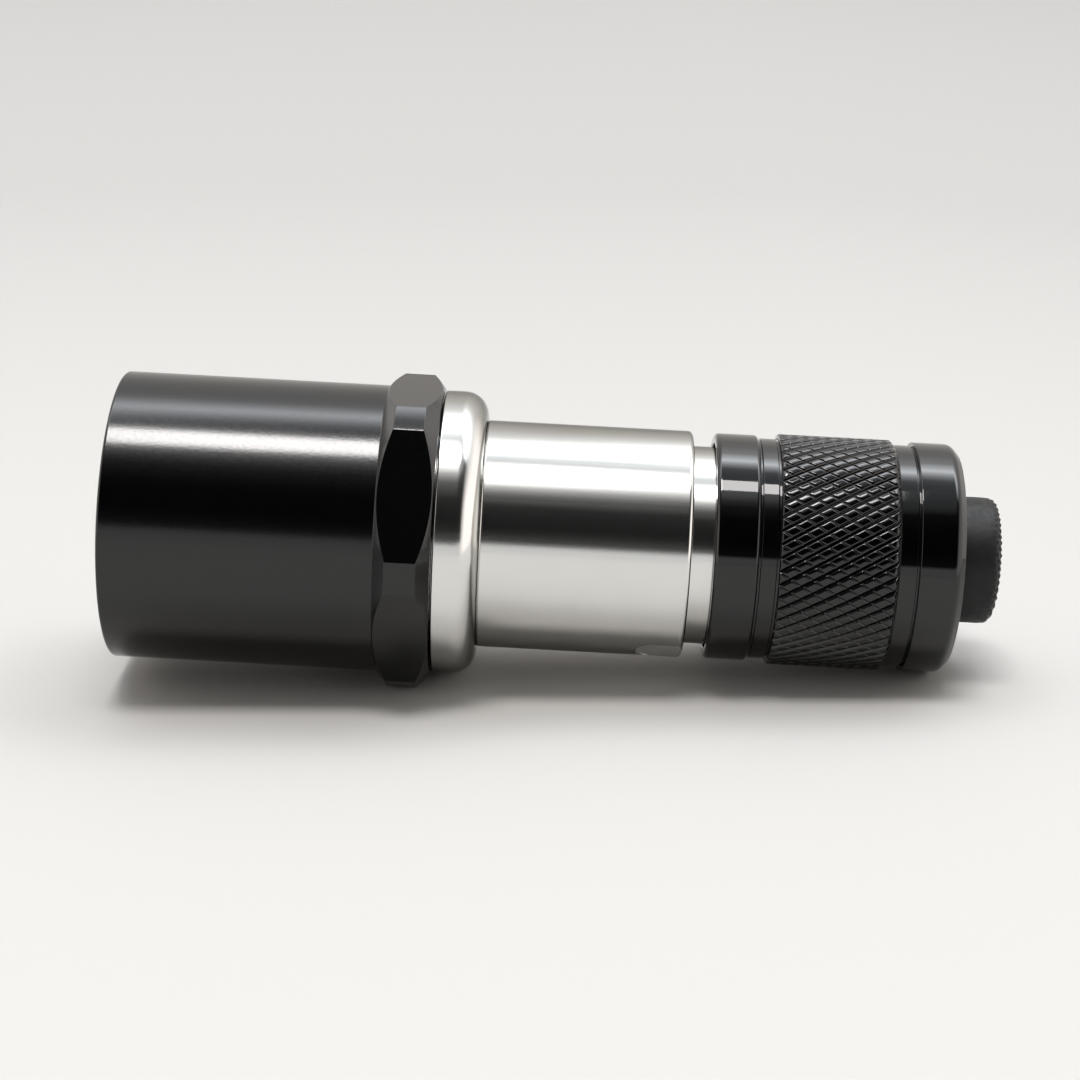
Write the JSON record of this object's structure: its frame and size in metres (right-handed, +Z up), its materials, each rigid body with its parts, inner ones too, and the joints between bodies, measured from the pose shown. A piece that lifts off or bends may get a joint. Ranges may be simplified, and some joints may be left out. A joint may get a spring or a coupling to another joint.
{
  "type": "compact hand torch",
  "caption": "Short pocket torch with a smooth round head, hexagonal anti-roll ring, bright tube, knurled tail cap and rubber push button.",
  "frame": {"origin": "below the middle of the torch's length, on the level of the lowest facet of the hexagonal ring", "axes": "+X along the beam, out of the head; +Z up, square to the facet it rests on; Y to the side"},
  "size_m": [0.098, 0.0354, 0.0323],
  "materials": {
    "head_black": "satin black anodised aluminium",
    "cap_black": "gloss black anodised aluminium",
    "ring_black": "satin black anodised aluminium",
    "tube_silver": "fine-turned satin clear anodised",
    "seal_rubber": "soft matte",
    "boot_rubber": "matte, fine pebbled end",
    "window_glass": "clear, thin antireflection tint",
    "reflector_mirror": "vacuum metallised, slight orange peel",
    "led_phosphor": "yellow phosphor under clear silicone",
    "white_plastic": "matte white",
    "copper_board": "bare copper core, lacquered",
    "brass": "turned",
    "board_green": "solder mask",
    "component_grey": "moulded epoxy",
    "wire_red": "silicone sleeve",
    "spring_gold": "gold flashed spring wire",
    "spring_steel": "bright plated wire",
    "cell_steel": "drawn nickel-plated steel",
    "cell_wrap": "plain blue shrink sleeve",
    "black_plastic": "matte black",
    "washer_nylon": "natural nylon"
  },
  "bodies": {
    "tube": {"battery_tube": "tube_silver", "collar": "tube_silver", "head_o_ring": "seal_rubber", "tail_o_ring": "seal_rubber"},
    "lamp_module": {"reflector": "reflector_mirror", "led_emitter": "led_phosphor", "led_centering_ring": "white_plastic", "led_board": "copper_board", "pill": "brass", "led_wires": "wire_red", "driver_board": "board_green", "driver_components": "component_grey", "driver_contact_spring": "spring_gold", "module_ground_spring": "spring_steel"},
    "head": {"head_shell": "head_black", "lens_retaining_ring": "ring_black", "lens_o_ring": "seal_rubber", "lens": "window_glass"},
    "cell": {"battery_can": "cell_steel", "battery_wrap": "cell_wrap", "battery_positive_cap": "cell_steel"},
    "tail_contact": {"tail_spring": "spring_gold"},
    "tail_cap": {"tail_cap": "cap_black", "switch_retaining_ring": "brass", "switch_board": "board_green", "switch_carrier": "black_plastic", "switch_housing": "black_plastic", "switch_return_spring": "spring_steel", "boot_washer": "washer_nylon"},
    "button": {"switch_plunger": "white_plastic", "switch_boot": "boot_rubber"}
  },
  "joints": [
    {"name": "lamp_module_travel", "type": "slide", "parent": "tube", "child": "lamp_module", "axis": [1, 0, 0], "range_m": [0, 0.005], "deforming": ["module_ground_spring"]},
    {"name": "head_turn", "type": "hinge", "parent": "lamp_module", "child": "head", "pos_m": [0.02895, 0, 0.01615], "axis": [1, 0, 0], "range_deg": [0, 1801]},
    {"name": "cell_withdrawal", "type": "slide", "parent": "tube", "child": "cell", "axis": [-1, 0, 0], "range_m": [0, 0.04]},
    {"name": "tail_cap_travel", "type": "slide", "parent": "cell", "child": "tail_contact", "axis": [-1, 0, 0], "range_m": [0, 0.006]},
    {"name": "tail_cap_turn", "type": "hinge", "parent": "tail_contact", "child": "tail_cap", "pos_m": [-0.03105, 0, 0.01615], "axis": [-1, 0, 0], "range_deg": [0, 2161]},
    {"name": "button_press", "type": "slide", "parent": "tail_cap", "child": "button", "axis": [1, 0, 0], "range_m": [0, 0.0022], "stiffness_N_per_m": 2000, "springref_m": -0.0012, "deforming": ["switch_boot", "switch_return_spring"]}
  ],
  "couplings": [
    {"joint": "head_turn", "follows": "lamp_module_travel", "rad_per_m": 6283.2},
    {"joint": "tail_cap_turn", "follows": "tail_cap_travel", "rad_per_m": 6283.2}
  ]
}
